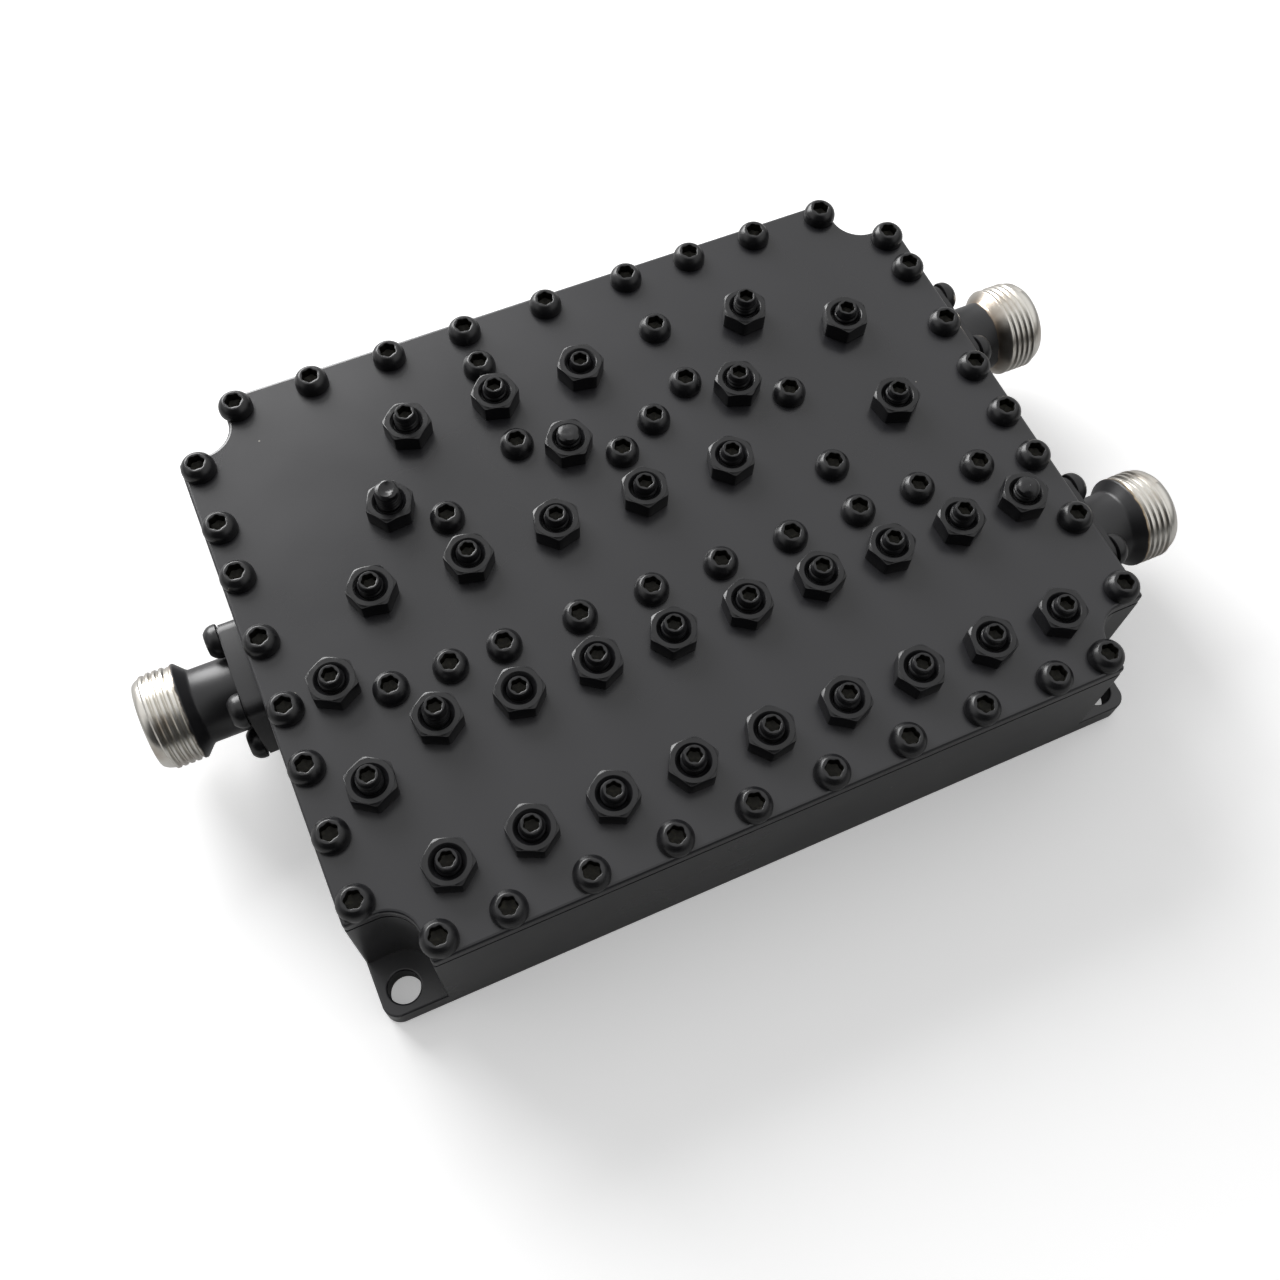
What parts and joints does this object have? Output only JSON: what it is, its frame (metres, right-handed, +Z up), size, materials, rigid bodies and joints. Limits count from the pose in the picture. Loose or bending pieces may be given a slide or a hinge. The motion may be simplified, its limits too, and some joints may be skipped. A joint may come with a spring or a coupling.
{
  "type": "rf diplexer",
  "caption": "Cavity diplexer in a milled black housing with a screwed cover, rows of locked tuning screws, corner ears and threaded coaxial jacks at both ends.",
  "frame": {"origin": "centre of the housing's underside", "axes": "+X from the common jack's end to the end with two jacks, +Y to the back with the round cavities, +Z up to the tuning screws"},
  "size_m": [0.1676, 0.101, 0.0331],
  "materials": {
    "black_paint": "satin black paint, scuffed",
    "painted_screw": "steel screws painted over",
    "painted_brass": "brass painted over after tuning",
    "nickel": "nickel plate with black paint behind the thread",
    "white_insulator": "white fluoropolymer",
    "gold_contact": "gold plate",
    "silver_plate": "silver plate",
    "plain_steel": "bright zinc"
  },
  "bodies": {
    "root": {"housing": "black_paint", "cover": "black_paint", "cover_screws_back": "painted_screw", "cover_screws_front": "painted_screw", "cover_screws_left": "painted_screw", "cover_screws_right": "painted_screw", "cover_screws_septum": "painted_screw", "cover_screws_webs": "painted_screw", "cavity_tuners": "painted_brass", "window_tuners": "painted_brass", "rod_tuners": "painted_brass", "between_tuners": "painted_brass", "port_tuners": "painted_brass", "cavity_locknuts": "painted_brass", "window_locknuts": "painted_brass", "rod_locknuts": "painted_brass", "between_locknuts": "painted_brass", "port_locknuts": "painted_brass", "common_jack_body": "nickel", "rear_jack_body": "nickel", "front_jack_body": "nickel", "common_jack_insulator": "white_insulator", "rear_jack_insulator": "white_insulator", "front_jack_insulator": "white_insulator", "common_jack_contact": "gold_contact", "rear_jack_contact": "gold_contact", "front_jack_contact": "gold_contact", "common_flange_screws": "painted_screw", "rear_flange_screws": "painted_screw", "front_flange_screws": "painted_screw", "cavity_posts": "silver_plate", "post_screws": "plain_steel", "filter_rods": "silver_plate", "foot_screws": "plain_steel", "common_line": "silver_plate", "rear_line": "silver_plate", "front_line": "silver_plate"}
  },
  "joints": []
}
